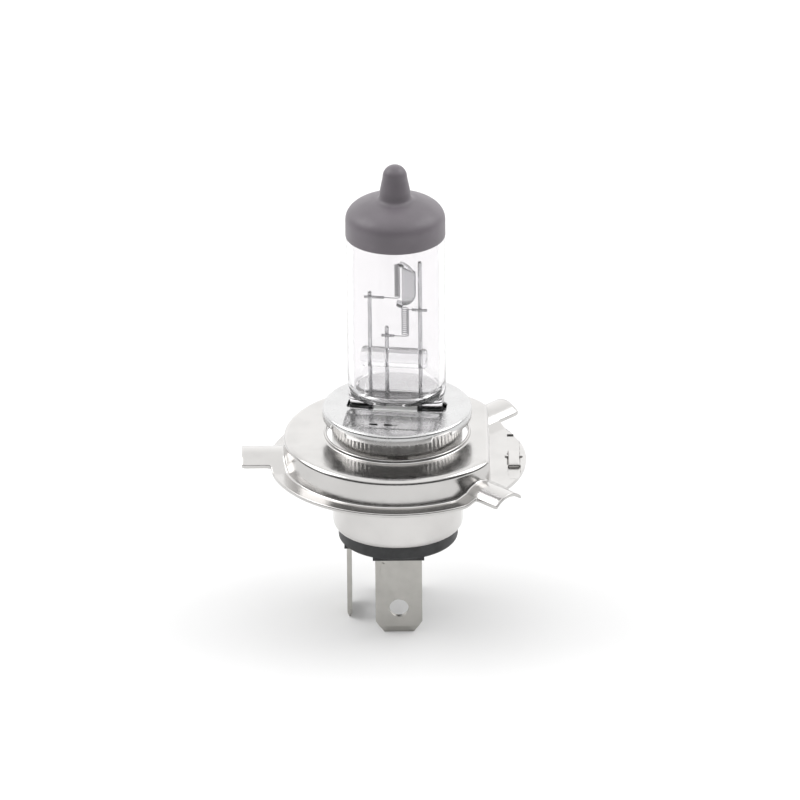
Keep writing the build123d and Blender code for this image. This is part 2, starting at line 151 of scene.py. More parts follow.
class Shade:
    """A short way to write a node material."""

    def __init__(self, name):
        self.material = bpy.data.materials.new(name)
        self.material.use_nodes = True
        self.tree = self.material.node_tree
        self.tree.nodes.clear()
        self.output = self.node("ShaderNodeOutputMaterial")

    def node(self, kind, **inputs):
        made = self.tree.nodes.new(kind)
        for name, value in inputs.items():
            setattr(made, name, value)
        return made

    def link(self, source, target):
        self.tree.links.new(source, target)

    def principled(self, colour, metallic, roughness, **sockets):
        shader = self.node("ShaderNodeBsdfPrincipled")
        shader.inputs["Base Color"].default_value = (*colour, 1)
        shader.inputs["Metallic"].default_value = metallic
        shader.inputs["Roughness"].default_value = roughness
        for name, value in sockets.items():
            shader.inputs[name.replace("_", " ")].default_value = value
        self.link(shader.outputs[0], self.output.inputs["Surface"])
        return shader

    def place(self, scale=(1, 1, 1)):
        """Object coordinates, stretched by scale."""
        coords = self.node("ShaderNodeTexCoord")
        mapping = self.node("ShaderNodeMapping")
        mapping.inputs["Scale"].default_value = scale
        self.link(coords.outputs["Object"], mapping.inputs["Vector"])
        return mapping.outputs["Vector"]

    def noise(self, vector, scale, detail=3.0, rough=0.5):
        texture = self.node("ShaderNodeTexNoise")
        texture.inputs["Scale"].default_value = scale
        texture.inputs["Detail"].default_value = detail
        texture.inputs["Roughness"].default_value = rough
        self.link(vector, texture.inputs["Vector"])
        return texture.outputs["Fac"]

    def ramp(self, factor, stops):
        """Colours at places along a ramp; each stop is (place, colour)."""
        ramp = self.node("ShaderNodeValToRGB")
        elements = ramp.color_ramp.elements
        while len(elements) < len(stops):
            elements.new(0.5)
        for element, (place, colour) in zip(elements, stops):
            element.position = place
            element.color = (*colour, 1)
        self.link(factor, ramp.inputs["Fac"])
        return ramp.outputs["Color"]

    def range(self, factor, low, high, start=0.0, stop=1.0):
        mapped = self.node("ShaderNodeMapRange")
        for name, value in (("From Min", start), ("From Max", stop), ("To Min", low), ("To Max", high)):
            mapped.inputs[name].default_value = value
        self.link(factor, mapped.inputs["Value"])
        return mapped.outputs["Result"]

    def bump(self, shader, height, strength, distance):
        bump = self.node("ShaderNodeBump")
        bump.inputs["Strength"].default_value = strength
        bump.inputs["Distance"].default_value = distance
        self.link(height, bump.inputs["Height"])
        self.link(bump.outputs["Normal"], shader.inputs["Normal"])
        return bump


def tinted(colour, factor):
    return tuple(min(1.0, c * factor) for c in colour)


def quartz_material(tint):
    """Clear quartz, darker at its edges with painted shade, that lets lamp light through to what is inside.
    """
    shade = Shade("clear_quartz")
    shader = shade.principled(tint, 0.0, 0.0, Transmission_Weight=1.0, IOR=1.46)
    # Painted shade: the base colour goes darker towards the edges, where the surface is seen at a grazing
    # angle.
    edge = shade.node("ShaderNodeLayerWeight")
    edge.inputs["Blend"].default_value = 0.35
    shade.link(shade.ramp(edge.outputs["Facing"], [(0.55, tint), (0.97, tinted(tint, 0.5))]),
               shader.inputs["Base Color"])
    waves = shade.noise(shade.place((1, 1, 0.35)), 160, 1.0)
    shade.bump(shader, waves, 0.05, 0.0004)
    clear = shade.node("ShaderNodeBsdfTransparent")
    clear.inputs["Color"].default_value = (0.96, 0.965, 0.965, 1)
    path = shade.node("ShaderNodeLightPath")
    mix = shade.node("ShaderNodeMixShader")
    shade.link(path.outputs["Is Shadow Ray"], mix.inputs["Fac"])
    shade.link(shader.outputs[0], mix.inputs[1])
    shade.link(clear.outputs[0], mix.inputs[2])
    shade.link(mix.outputs[0], shade.output.inputs["Surface"])
    return shade.material


def coating_material(colour):
    """Satin fired coating with a faint orange-peel and uneven tone."""
    shade = Shade("glare_coating")
    shader = shade.principled(colour, 0.0, 0.42, Specular_IOR_Level=0.5)
    place = shade.place()
    cloud = shade.noise(place, 220, 4.0)
    shade.link(shade.ramp(cloud, [(0.3, tinted(colour, 0.9)), (0.7, tinted(colour, 1.08))]),
               shader.inputs["Base Color"])
    shade.link(shade.range(shade.noise(place, 700, 3.0), 0.36, 0.5), shader.inputs["Roughness"])
    shade.bump(shader, shade.noise(place, 2600, 2.0), 0.12, 0.00006)
    return shade.material


def plated_material(name, colour, rough_low, rough_high, grain=(1, 1, 1), bump=0.06):
    """Plated sheet metal: cloudy sheen and fine drawing lines."""
    shade = Shade(name)
    shader = shade.principled(colour, 1.0, (rough_low + rough_high) / 2)
    place = shade.place()
    cloud = shade.noise(place, 190, 4.0)
    base = shade.ramp(cloud, [(0.3, tinted(colour, 0.93)), (0.55, colour), (0.8, tinted(colour, 1.03))])
    shade.link(base, shader.inputs["Base Color"])
    lines = shade.noise(shade.place(grain), 900, 3.0, 0.6)
    shade.link(shade.range(lines, rough_low, rough_high, 0.3, 0.7), shader.inputs["Roughness"])
    shade.bump(shader, lines, bump, 0.00003)
    return shade.material


def wire_material(name, colour, roughness):
    """Drawn wire: faint lengthwise lines and a slightly uneven sheen."""
    shade = Shade(name)
    shader = shade.principled(colour, 1.0, roughness)
    streaks = shade.noise(shade.place((1, 1, 0.08)), 4200, 2.0)
    shade.link(shade.ramp(streaks, [(0.3, tinted(colour, 0.8)), (0.7, tinted(colour, 1.12))]),
               shader.inputs["Base Color"])
    shade.link(shade.range(streaks, roughness * 0.75, roughness * 1.35), shader.inputs["Roughness"])
    return shade.material


def plastic_material(colour):
    """Black glass-filled moulding with a fine matt grain."""
    shade = Shade("insulator_plastic")
    shader = shade.principled(colour, 0.0, 0.5, Specular_IOR_Level=0.45)
    place = shade.place()
    tones = [(0.3, tinted(colour, 0.75)), (0.75, tinted(colour, 1.6))]
    shade.link(shade.ramp(shade.noise(place, 420, 4.0), tones), shader.inputs["Base Color"])
    shade.link(shade.range(shade.noise(place, 1500, 2.0), 0.42, 0.6), shader.inputs["Roughness"])
    shade.bump(shader, shade.noise(place, 3200, 3.0), 0.18, 0.00006)
    return shade.material


def floor_material(colour):
    shade = Shade("paper_floor")
    shader = shade.principled(colour, 0.0, 0.9)
    fibre = shade.noise(shade.place(), 35, 4.0)
    shade.link(shade.ramp(fibre, [(0.3, tinted(colour, 0.995)), (0.7, colour)]), shader.inputs["Base Color"])
    return shade.material


# ---------------------------------------------------------------- mesh helpers

def piece_from(name, points, faces, material, smooth=True):
    """A mesh piece in metres from points in millimetres."""
    mesh = bpy.data.meshes.new(name)
    mesh.from_pydata([Vector(p) * MM for p in points], [], faces)
    mesh.validate()
    mesh.update()
    mesh.polygons.foreach_set("use_smooth", [smooth] * len(mesh.polygons))
    piece = bpy.data.objects.new(name, mesh)
    bpy.context.scene.collection.objects.link(piece)
    mesh.materials.append(material)
    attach(piece, "root")
    return piece


def lofted(rings, close_start=True, close_end=True):
    """Points and faces of a skin over rings that all have the same number of points."""
    count = len(rings[0])
    points = [p for ring in rings for p in ring]
    faces = []
    for row in range(len(rings) - 1):
        for i in range(count):
            j = (i + 1) % count
            a, b = row * count, (row + 1) * count
            faces.append((a + i, a + j, b + j, b + i))
    if close_start:
        faces.append(tuple(reversed(range(count))))
    if close_end:
        faces.append(tuple(range((len(rings) - 1) * count, len(rings) * count)))
    return points, faces


def merged(*skins):
    """Several (points, faces) skins as one."""
    points, faces = [], []
    for skin_points, skin_faces in skins:
        start = len(points)
        points += skin_points
        faces += [tuple(i + start for i in face) for face in skin_faces]
    return points, faces


def turned_inside_out(skin):
    points, faces = skin
    return points, [tuple(reversed(face)) for face in faces]


def dress(names, material):
    """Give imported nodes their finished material."""
    for name in names:
        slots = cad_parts[name].material_slots
        for slot in slots:
            slot.material = material


# ---------------------------------------------------------------- the quartz envelope and coating

RING_POINTS = 160
DOME_Z = 43.6
DOME_RISE = 3.8
NECK_R = 2.45
NECK_Z = 48.9
NIPPLE_R = 1.95
DOME_POWER = 2.35
SHOULDER = radians(68)
TUBE_FOOT_Z = 14.5
PINCH_TOP_Z = 11.3
PINCH_HALF = (7.8, 1.7)
SLAB_EDGE = 0.3
SLAB_POWER = 7


def hermite(p0, m0, p1, m1, t):
    """A point on a cubic from p0 to p1 with end slopes m0 and m1."""
    a = 2 * t ** 3 - 3 * t ** 2 + 1
    b = t ** 3 - 2 * t ** 2 + t
    c = -2 * t ** 3 + 3 * t ** 2
    d = t ** 3 - t ** 2
    return tuple(a * p + b * m + c * q + d * n for p, m, q, n in zip(p0, m0, p1, m1))


def dome_outline(grow):
    """(radius, height) points from the top of the straight wall to the tip."""
    r, rise, neck, tip = GLASS_R + grow, DOME_RISE + grow, NECK_R + grow, NIPPLE_R + grow
    tip_z = GLASS_HIGH.z + grow
    steps = 22
    full = 2 / DOME_POWER
    dome = [(r * cos(SHOULDER * i / steps) ** full, DOME_Z + rise * sin(SHOULDER * i / steps) ** full)
            for i in range(steps + 1)]
    ahead, last = Vector(dome[-1]), Vector(dome[-2])
    slope = tuple((ahead - last).normalized() * 3.6)
    flare = [hermite(dome[-1], slope, (neck, NECK_Z), (-0.15, 2.1), i / 16) for i in range(1, 17)]
    centre = tip_z - tip
    straight = [(neck + (tip - neck) * i / 4, NECK_Z + (centre - NECK_Z) * i / 4) for i in range(1, 5)]
    ball = [(tip * cos(radians(a)), centre + tip * sin(radians(a))) for a in range(6, 85, 6)]
    return dome + flare + straight + ball + [(0.02, tip_z)]


def circle(r, z, count=RING_POINTS):
    return [(r * cos(2 * pi * i / count), r * sin(2 * pi * i / count), z) for i in range(count)]


def squashed(half_x, half_y, power, z, count=RING_POINTS):
    """A superellipse ring: power 2 is an ellipse, and more is squarer."""
    ring = []
    for i in range(count):
        a = 2 * pi * i / count
        c, s = cos(a), sin(a)
        ring.append((half_x * abs(c) ** (2 / power) * (1 if c >= 0 else -1),
                     half_y * abs(s) ** (2 / power) * (1 if s >= 0 else -1), z))
    return ring


def foot_rings(radius, half_x, half_y, power, round_z, low_z):
    """Rings down a round tube that turns in under itself to a flat slab; round_z is where the turn starts."""
    rings = []
    turn = 0.22 * radius
    for i in range(9):
        a = radians(90 * i / 8)
        rings.append(squashed(radius - (radius - half_x) * 0.35 * (1 - cos(a)), radius - turn * (1 - cos(a)),
                              2 + 0.25 * (1 - cos(a)), round_z - turn * sin(a)))
    start_y, start_z = radius - turn, round_z - turn
    start_x = radius - (radius - half_x) * 0.35
    for i in range(1, 13):
        t = i / 12
        ease = t * t * (3 - 2 * t)
        z = start_z + (low_z - start_z) * (0.35 * t + 0.65 * ease)
        rings.append(squashed(start_x + (half_x - start_x) * ease, start_y + (half_y - start_y) * t ** 0.8,
                              2.25 + (power - 2.25) * ease, z))
    return rings


def envelope_skin(wall):
    half_x, half_y = PINCH_HALF
    low = GLASS_LOW.z
    slab = [squashed(half_x - SLAB_EDGE, half_y - SLAB_EDGE, SLAB_POWER, low)]
    slab += [squashed(half_x, half_y, SLAB_POWER, z) for z in (low + SLAB_EDGE, low + 1.0, PINCH_TOP_Z - 0.8)]
    foot = foot_rings(GLASS_R, half_x, half_y, SLAB_POWER, TUBE_FOOT_Z, PINCH_TOP_Z)[::-1]
    tube = [circle(GLASS_R, TUBE_FOOT_Z + (DOME_Z - TUBE_FOOT_Z) * i / 12) for i in range(1, 12)]
    dome = [circle(r, z) for r, z in dome_outline(0)]
    outer = lofted(slab + foot + tube + dome)
    bore = GLASS_R - wall
    bore_foot = TUBE_FOOT_Z + 0.5 * wall
    hollow_foot = foot_rings(bore, bore * 0.76, 1.15, 2.2, bore_foot, PINCH_TOP_Z + 0.9)[::-1]
    hollow_tube = [circle(bore, bore_foot + (DOME_Z - bore_foot) * i / 12) for i in range(1, 12)]
    rise = DOME_RISE - wall
    hollow_dome = [circle(bore * cos(radians(a)), DOME_Z + rise * sin(radians(a))) for a in range(0, 88, 5)]
    inner = lofted(hollow_foot + hollow_tube + hollow_dome)
    return merged(outer, turned_inside_out(inner))


def burner_turned(points):
    turn = Matrix.Rotation(BURNER_TURN, 3, "Z")
    return [turn @ Vector(p) for p in points]


class BULB_OT_envelope(bpy.types.Operator):
    """Build the clear quartz envelope with its pinch seal"""

    bl_idname = "bulb.envelope"
    bl_label = "Quartz envelope"

    def execute(self, context):
        settings = context.scene.bulb_glass
        points, faces = envelope_skin(settings.wall)
        envelope = piece_from("quartz_envelope", burner_turned(points), faces,
                              quartz_material(settings.tint))
        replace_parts(envelope, "glass_envelope")
        return {"FINISHED"}


class BULB_OT_coating(bpy.types.Operator):
    """Build the fired glare coating over the dome and tip"""

    bl_idname = "bulb.coating"
    bl_label = "Glare coating"

    def execute(self, context):
        under = GLASS_R + COAT_GAP
        outer = [circle(GLASS_R + COAT, CAP_LOW.z + 0.05)]
        outer += [circle(GLASS_R + COAT, CAP_LOW.z + (DOME_Z - CAP_LOW.z) * i / 4) for i in range(1, 4)]
        outer += [circle(r, z) for r, z in dome_outline(COAT)]
        inner = [circle(under, CAP_LOW.z + 0.03)]
        inner += [circle(r, z) for r, z in dome_outline(COAT_GAP)]
        rim = [circle(under, CAP_LOW.z + 0.03), circle(GLASS_R + COAT - 0.02, CAP_LOW.z)]
        shell = rim + outer
        skin = merged(lofted(shell, close_start=False), turned_inside_out(lofted(inner, close_start=False)))
        coating = piece_from("glare_coating", burner_turned(skin[0]), skin[1],
                             coating_material(context.scene.bulb_glass.coating_colour))
        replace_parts(coating, "glare_cap")
        return {"FINISHED"}


# ---------------------------------------------------------------- coils and shield

COIL_WIRE_R = 0.068
# Painted light: the bridge gets a paler quartz tint than the envelope, so the same quartz reads brighter.
BRIDGE_PAINTED_LIGHT_TINT = (0.96, 0.96, 0.965)
COIL_SIDES = 8
TURN_POINTS = 20
COILS = {
    "dipped_filament": dict(x=0.2, low=29.8, high=35.7, r=0.42, turns=17, left=-2.6, right=0.85),
    "main_filament": dict(x=1.5, low=23.0, high=27.9, r=0.58, turns=14, left=-1.0, right=3.2),
}
SPOON_X = 1.15
SPOON_R = 2.2
SPOON_DEPTH = 0.6
SPOON_T = 0.16
SPOON_LOW_Z = 28.45
SPOON_HIGH_Z = 35.9
SPOON_SLANT = 0.62
SPOON_BACK_DROP = 0.6
SPOON_ROUND = 2.3
LIP_SHEET = 0.12
STRAP_T = 0.2
HOOK_Y = (-0.95, -0.35)
HOOK_PATH = ((0.35, 36.1), (0.6, 36.22), (0.8, 35.9), (0.95, 35.7))


def tube_skin(path, r, sides=COIL_SIDES):
    """A round wire along a path, with its section carried along without twisting."""
    path = [Vector(p) for p in path]
    rings = []
    side = None
    for k, point in enumerate(path):
        along = (path[min(len(path) - 1, k + 1)] - path[max(0, k - 1)]).normalized()
        if side is None:
            side = along.orthogonal().normalized()
        side = (side - along * side.dot(along)).normalized()
        up = along.cross(side)
        rings.append([tuple(point + (side * cos(2 * pi * i / sides) + up * sin(2 * pi * i / sides)) * r)
                      for i in range(sides)])
    return lofted(rings)


def coil_path(x, low, high, r, turns, left, right):
    """A leg in from the left, the helix from low to high, and a leg out to the right."""
    count = turns * TURN_POINTS
    helix = []
    for i in range(count + 1):
        a = -pi / 2 + 2 * pi * i / TURN_POINTS
        helix.append((x + r * cos(a), r * sin(a), low + (high - low) * i / count))
    leg_in = [(left + (x - left) * i / 6, -r, low) for i in range(6)]
    leg_out = [(x + (right - x) * i / 6, -r, high) for i in range(1, 7)]
    return leg_in + helix + leg_out


def spoon_skin():
    """Half a round-bottomed cup with a slanting mouth, open towards the dipped coil."""
    columns, rows = 48, 40

    def surface(r, grow):
        grid = []
        for i in range(columns + 1):
            a = -pi / 2 + pi * i / columns
            column = []
            for j in range(rows + 1):
                t = j / rows
                top = SPOON_HIGH_Z - SPOON_SLANT * r * cos(a) - SPOON_BACK_DROP * max(0.0, sin(a))
                if t < 0.4:
                    b = radians(90 * t / 0.4)
                    rr, z = r * sin(b) ** 0.8, SPOON_LOW_Z + grow + (SPOON_ROUND - grow) * (1 - cos(b))
                else:
                    rr = r
                    z = SPOON_LOW_Z + SPOON_ROUND + (top - SPOON_LOW_Z - SPOON_ROUND) * (t - 0.4) / 0.6
                column.append((SPOON_X + rr * cos(a), SPOON_DEPTH * rr * sin(a), z))
            grid.append(column)
        return grid

    outer, inner = surface(SPOON_R, 0), surface(SPOON_R - SPOON_T, SPOON_T)
    points = [p for column in outer for p in column] + [p for column in inner for p in column]
    width = rows + 1
    shift = (columns + 1) * width
    faces = []
    for i in range(columns):
        for j in range(rows):
            a = i * width + j
            faces.append((a, a + width, a + width + 1, a + 1))
            faces.append((shift + a, shift + a + 1, shift + a + width + 1, shift + a + width))
        top = i * width + rows
        faces.append((top, top + width, shift + top + width, shift + top))
    for i in (0, columns):
        for j in range(rows):
            a = i * width + j
            quad = (a, a + 1, shift + a + 1, shift + a)
            faces.append(quad if i == 0 else tuple(reversed(quad)))
    return points, faces


def shield_skin():
    """The spoon with its turned-out lip below and the strap that hooks over the coil's end."""
    lip = []
    for i in range(7):
        t = i / 6
        lip.append((SPOON_X + 0.1 - 1.15 * t, SPOON_LOW_Z + LIP_SHEET + 0.35 * t * t))
    lip_rings = []
    for k, (x, z) in enumerate(lip):
        near, far = -1.5 + 0.3 * (k / 6), 1.3 - 0.3 * (k / 6)
        lip_rings.append([(x, near, z), (x, far, z), (x, far, z - LIP_SHEET), (x, near, z - LIP_SHEET)])
    strap = []
    for i in range(11):
        t = i / 10
        x = 0.72 + 2.35 * t
        z = 36.15 - 0.25 * t - 1.6 * t * t
        strap.append((x, z))
    strap_rings = []
    for k, (x, z) in enumerate(strap):
        near = -1.5 + 0.75 * k / 10
        strap_rings.append([(x, near, z), (x, 0.5, z), (x, 0.5, z - STRAP_T), (x, near, z - STRAP_T)])
    near, far = HOOK_Y
    hook = [[(x, near, z), (x, far, z), (x, far, z - SPOON_T), (x, near, z - SPOON_T)] for x, z in HOOK_PATH]
    return merged(spoon_skin(), lofted(lip_rings), lofted(strap_rings), lofted(hook))


# ---------------------------------------------------------------- the ribbed sleeve

SLEEVE_R = 10.92
SLEEVE_WALL = 0.45
SLEEVE_TOP_Z = 9.4
SLEEVE_TURN_Z = -10.7
SLEEVE_RIM_Z = -11.8
SLEEVE_RIM_R = 10.05
RIB_COUNT = 90
RIB_BAND = (5.9, 8.1)
RIB_OUT = 0.06
RIB_STEPS = 8


def smooth(value, low, high):
    t = min(1.0, max(0.0, (value - low) / (high - low)))
    return t * t * (3 - 2 * t)


def sleeve_skin():
    """The outside and inside of the sleeve, with upright ribs in a band near its top."""
    outline = [(SLEEVE_RIM_R - SLEEVE_WALL, SLEEVE_RIM_Z), (SLEEVE_RIM_R - 0.05, SLEEVE_RIM_Z),
               (SLEEVE_RIM_R, SLEEVE_RIM_Z + 0.05)]
    turn_steps = 8
    for i in range(1, turn_steps + 1):
        a = radians(90 * i / turn_steps)
        outline.append((SLEEVE_RIM_R + (SLEEVE_R - SLEEVE_RIM_R) * sin(a),
                        SLEEVE_RIM_Z + 0.05 + (SLEEVE_TURN_Z - SLEEVE_RIM_Z - 0.05) * (1 - cos(a))))
    low, high = RIB_BAND
    levels = [-10.2, -6, -2, 2, 5, low - 0.15, low, low + 0.1, low + 0.25, (low + high) / 2]
    levels += [high - 0.25, high - 0.1, high, high + 0.15, SLEEVE_TOP_Z - 0.1]
    outline += [(SLEEVE_R, z) for z in levels]
    outline += [(SLEEVE_R - 0.1, SLEEVE_TOP_Z), (SLEEVE_R - SLEEVE_WALL, SLEEVE_TOP_Z),
                (SLEEVE_R - SLEEVE_WALL, SLEEVE_TURN_Z + 0.05)]
    count = RIB_COUNT * RIB_STEPS
    rings = []
    for r, z in outline:
        band = smooth(z, low - 0.02, low + 0.2) * (1 - smooth(z, high - 0.2, high + 0.02))
        band = band if r == SLEEVE_R else 0
        ring = []
        for i in range(count):
            a = 2 * pi * i / count
            phase = (i % RIB_STEPS) / RIB_STEPS
            wave = max(0.0, sin(2 * pi * phase)) ** 0.6
            out = r + RIB_OUT * band * wave
            ring.append((out * cos(a), out * sin(a), z))
        rings.append(ring)
    rings.append(rings[0])
    points, faces = lofted(rings[:-1], close_start=False, close_end=False)
    last = (len(rings) - 2) * count
    faces += [(last + i, last + (i + 1) % count, (i + 1) % count, i) for i in range(count)]
    return points, faces


# ---------------------------------------------------------------- the retainer

DISC_R = 12.45
DISC_T = 0.42
DISC_TOP_Z = 9.9
DISC_BEND = 0.55
SKIRT_Z = 8.15
SLOT_HALF = (8.3, 2.1)
TONGUE_HALF = 3.65
TONGUE_T = 0.35
TONGUE_TOP_Z = 10.9
NOTCH_HALF = radians(9)
NOTCH_RISE = 0.75
DISH_DEPTH = 0.32
DISC_POINTS = 480


def dish(x, y):
    """How far the pressed panel in front of the slot sinks the disc."""
    side = smooth(abs(x), 6.9, 8.1)
    front = smooth(-y, 8.6, 9.7)
    back = 1 - smooth(-y, 2.6, 3.7)
    return DISH_DEPTH * (1 - side) * (1 - front) * (1 - back)


def disc_ring(t, z_drop):
    """A ring between the slot's edge (t 0) and the start of the rim's bend (t 1)."""
    ring = []
    outer = DISC_R - DISC_BEND
    for i in range(DISC_POINTS):
        a = 2 * pi * i / DISC_POINTS
        c, s = cos(a), sin(a)
        hole = Vector((SLOT_HALF[0] * abs(c) ** 0.28 * (1 if c >= 0 else -1),
                       SLOT_HALF[1] * abs(s) ** 0.28 * (1 if s >= 0 else -1)))
        rim = Vector((outer * c, outer * s))
        spot = hole.lerp(rim, t)
        ring.append((spot.x, spot.y, DISC_TOP_Z - z_drop - dish(spot.x, spot.y)))
    return ring


def rim_ring(r, z, lift=0.0):
    """A ring of the skirt; lift raises it where the skirt is notched."""
    ring = []
    for i in range(DISC_POINTS):
        a = 2 * pi * i / DISC_POINTS
        off = abs((a + pi / 4) % (pi / 2) - pi / 4)
        from_diagonal = pi / 4 - off
        notch = 1 - smooth(from_diagonal, NOTCH_HALF - 0.012, NOTCH_HALF + 0.012)
        ring.append((r * cos(a), r * sin(a), z + lift * notch))
    return ring


SLIT_XS = (-3.6, -1.2)
SLIT_W = 1.3
SLIT_Y = (-7.6, -7.0)


def retainer_skin():
    steps = 26
    top = [disc_ring(i / steps, 0) for i in range(steps + 1)]
    bend = []
    for i in range(1, 9):
        a = radians(90 * i / 8)
        bend.append(rim_ring(DISC_R - DISC_BEND + DISC_BEND * sin(a), DISC_TOP_Z - DISC_BEND * (1 - cos(a))))
    skirt = [rim_ring(DISC_R, SKIRT_Z + 0.06, NOTCH_RISE), rim_ring(DISC_R - 0.06, SKIRT_Z, NOTCH_RISE),
             rim_ring(DISC_R - DISC_T + 0.06, SKIRT_Z, NOTCH_RISE),
             rim_ring(DISC_R - DISC_T, SKIRT_Z + 0.06, NOTCH_RISE)]
    inner_bend = DISC_BEND - DISC_T
    under = []
    for i in range(8, 0, -1):
        a = radians(90 * i / 8)
        under.append(rim_ring(DISC_R - DISC_BEND + inner_bend * sin(a),
                              DISC_TOP_Z - DISC_T - inner_bend * (1 - cos(a)) + 0.001))
    below = [disc_ring(i / steps, DISC_T) for i in range(steps, -1, -1)]
    rings = top + bend + skirt + under + below
    points, faces = lofted(rings, close_start=False, close_end=False)
    last = (len(rings) - 1) * DISC_POINTS
    faces += [(last + i, last + (i + 1) % DISC_POINTS, (i + 1) % DISC_POINTS, i) for i in range(DISC_POINTS)]
    return points, [tuple(reversed(face)) for face in faces]


def tongue_skin(side):
    """An upturned tongue at the slot's edge; side is -1 in front and 1 behind."""
    root_y = SLOT_HALF[1] + 0.45
    bend = 0.42
    path = [(root_y + 0.3, DISC_TOP_Z - 0.02)]
    for i in range(9):
        a = radians(90 * i / 8)
        path.append((root_y - bend * sin(a), DISC_TOP_Z + bend * (1 - cos(a)) - 0.02))
    path.append((root_y - bend, TONGUE_TOP_Z - 0.05))
    rings = []
    for k, (y, z) in enumerate(path):
        before, after = path[max(0, k - 1)], path[min(len(path) - 1, k + 1)]
        along = Vector((after[0] - before[0], after[1] - before[1])).normalized()
        inward = Vector((along.y, -along.x)) * TONGUE_T
        if inward.y > 0:
            inward = -inward
        y1, z1 = y - abs(inward.x), z - abs(inward.y)
        x = TONGUE_HALF
        rings.append([(-x, side * y, z), (x, side * y, z), (x, side * y1, z1), (-x, side * y1, z1)])
    skin = lofted(rings)
    return turned_inside_out(skin) if side > 0 else skin


# ---------------------------------------------------------------- the flange ring

SHEET = 0.6
FLANGE_R = 21.49
WALL_R = 19.0
FLAT_X = 15.3
FLAT_ROUND = 2.2
STEP_Z = 4.8
STEP_BEND = 0.9
FOOT_BEND = 0.35
LIP_R = 11.8
LIP_T = 0.42
LIP_Z = 5.4
TOP_START_R = 12.72
LUG_TIP_R = 25.99
LUG_CROWN_Z = 2.0
LUG_RISE = 1.25
LUG_FLARE = 2.2
LUGS = ((pi, 3.7), (pi / 4, 2.9), (-pi / 4, 2.9))
EVEN_ANGLES = 540
LUG_ANGLES = 130
GROOVE_BOX = (18.4, 20.4, -8.2, 9.0, -0.22, 3.0)
BRIDGE_BOX = (18.4, 20.4, -3.4, 2.2)
NUB_BOX = (0.1, 0.6, -0.1, 0.25)
TAB_HALF = 2.0
WELD_TAB_ANGLES = (-90, 30, 150)


def ring_angles():
    """Angles round the ring, closer together at the lugs."""
    angles = {round(2 * pi * i / EVEN_ANGLES - pi, 6) for i in range(EVEN_ANGLES)}
    for middle_angle, half in LUGS:
        reach = (half + LUG_FLARE) / FLANGE_R * 1.05
        for i in range(-LUG_ANGLES, LUG_ANGLES + 1):
            a = middle_angle + reach * i / LUG_ANGLES
            angles.add(round((a + pi) % (2 * pi) - pi, 6))
    return sorted(angles)


def lug_near(a):
    """The angle from the nearest lug's middle, and that lug's half width."""
    offsets = [((a - m + pi) % (2 * pi) - pi, half) for m, half in LUGS]
    return min(offsets, key=lambda pair: abs(pair[0]))


def outer_radius(a):
    """How far the sheet reaches: the round flange, or a lug's straight side and end."""
    off, half = lug_near(a)
    if abs(off) > radians(20):
        return FLANGE_R
    side = half / max(1e-6, sin(abs(off)))
    end = LUG_TIP_R / cos(off)
    corner = 1.0
    reach = min(side, end)
    if abs(side - end) < corner:
        reach -= (corner - abs(side - end)) ** 2 / (4 * corner)
    fillet_start = FLANGE_R + 0.9
    if reach < fillet_start:
        t = (reach - FLANGE_R + 0.9) / 1.8
        reach = FLANGE_R + (0.9 * t * t if t > 0 else 0)
    return max(FLANGE_R, reach)


def wall_radius(a):
    """The raised step's outline: round, with one flat whose ends are rounded."""
    flat = FLAT_X / cos(a) if abs(a) < radians(60) else 99.0
    if abs(flat - WALL_R) < FLAT_ROUND:
        return min(flat, WALL_R) - (FLAT_ROUND - abs(flat - WALL_R)) ** 2 / (4 * FLAT_ROUND) * 0.4
    return min(flat, WALL_R)


def lug_height(x, y):
    """How far a lug's arch lifts the flange at a point."""
    a = atan2(y, x)
    off, half = lug_near(a)
    r = sqrt(x * x + y * y)
    if abs(off) > radians(40):
        return 0.0
    across = abs(r * sin(off))
    arch_r = (half ** 2 + LUG_RISE ** 2) / (2 * LUG_RISE)
    if across < half:
        arch = LUG_CROWN_Z - arch_r + sqrt(arch_r ** 2 - across ** 2)
        edge = 0.0
    else:
        arch = LUG_CROWN_Z - LUG_RISE
        edge = smooth(across, half - 0.3, half + LUG_FLARE)
    return max(0.0, arch * (1 - edge))


